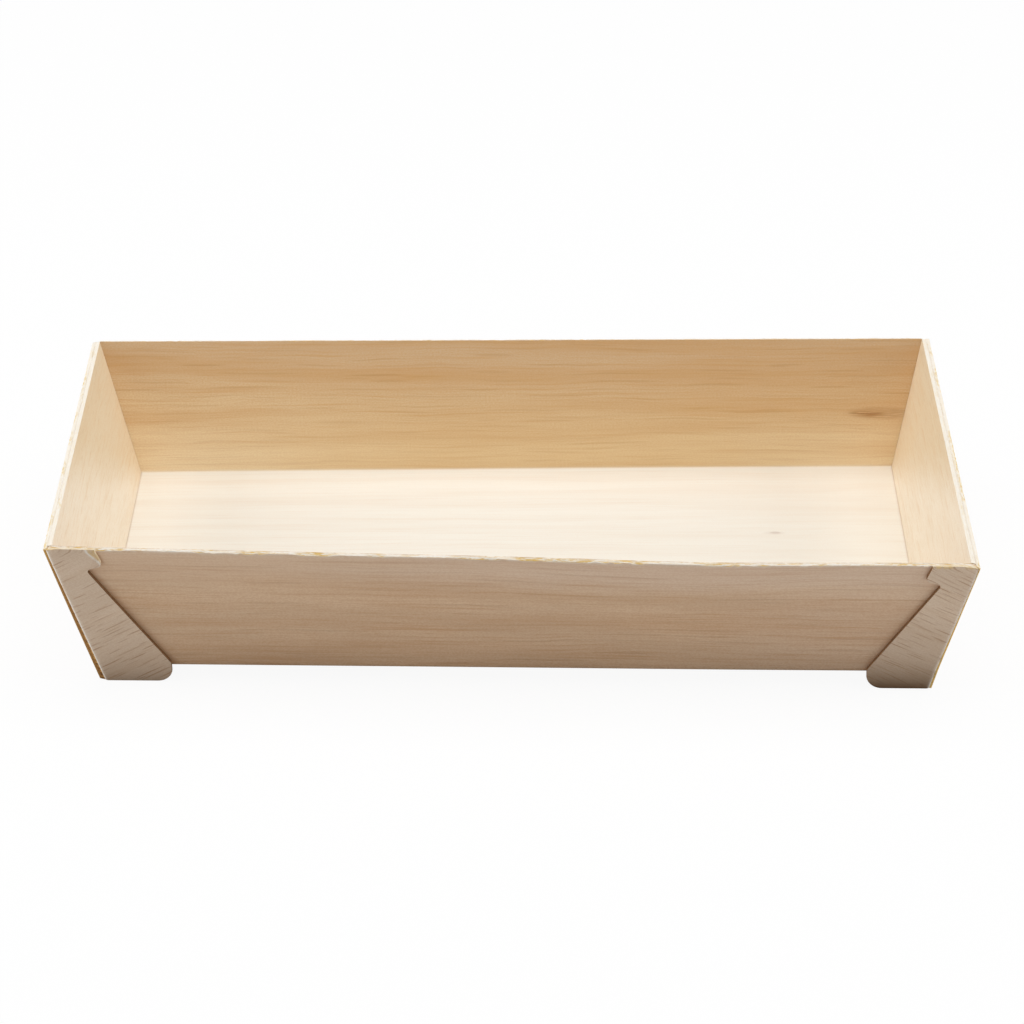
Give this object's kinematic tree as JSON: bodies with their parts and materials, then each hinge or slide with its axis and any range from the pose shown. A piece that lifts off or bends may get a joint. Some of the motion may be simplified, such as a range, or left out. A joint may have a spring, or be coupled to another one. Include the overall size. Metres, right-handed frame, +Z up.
{
  "type": "wooden sushi container",
  "caption": "Shallow rectangular food tray of thin wood veneer with walls that lean outwards, doubled ends, and corner flaps with a notch for a lid and low feet.",
  "frame": {"origin": "on the table, under the middle of the tray", "axes": "+X along the tray to the right end, +Y to the back, +Z up"},
  "size_m": [0.215, 0.127, 0.038],
  "materials": {
    "trough_veneer": "bare sliced veneer, grain along the tray",
    "panel_veneer": "bare sliced veneer, fine grain across the tray",
    "strip_veneer": "bare sliced veneer with short dark pores, grain along the strip"
  },
  "bodies": {
    "root": {"folded_trough": "trough_veneer", "left_end_panel": "panel_veneer", "right_end_panel": "panel_veneer", "left_end_strip": "strip_veneer", "right_end_strip": "strip_veneer"}
  },
  "joints": []
}
